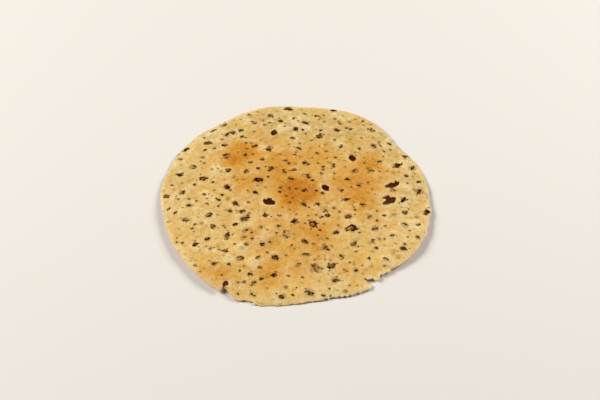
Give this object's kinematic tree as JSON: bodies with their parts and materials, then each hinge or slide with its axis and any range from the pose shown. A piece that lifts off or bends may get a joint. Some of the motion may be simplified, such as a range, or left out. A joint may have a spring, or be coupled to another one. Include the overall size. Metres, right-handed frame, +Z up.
{
  "type": "papadum",
  "caption": "Round crisp papadum: a thin, slightly domed and wavy roasted lentil sheet with cracked black pepper, toasted patches, small tears and a nicked rim.",
  "frame": {"origin": "on the table under the middle of the round", "axes": "+Z up through the sheet, +X to the diner's right, +Y away from the diner"},
  "size_m": [0.1648, 0.1649, 0.0073],
  "materials": {
    "crisp_sheet": "matte",
    "pepper": "matte"
  },
  "bodies": {
    "root": {"papadum": "crisp_sheet"}
  },
  "joints": []
}
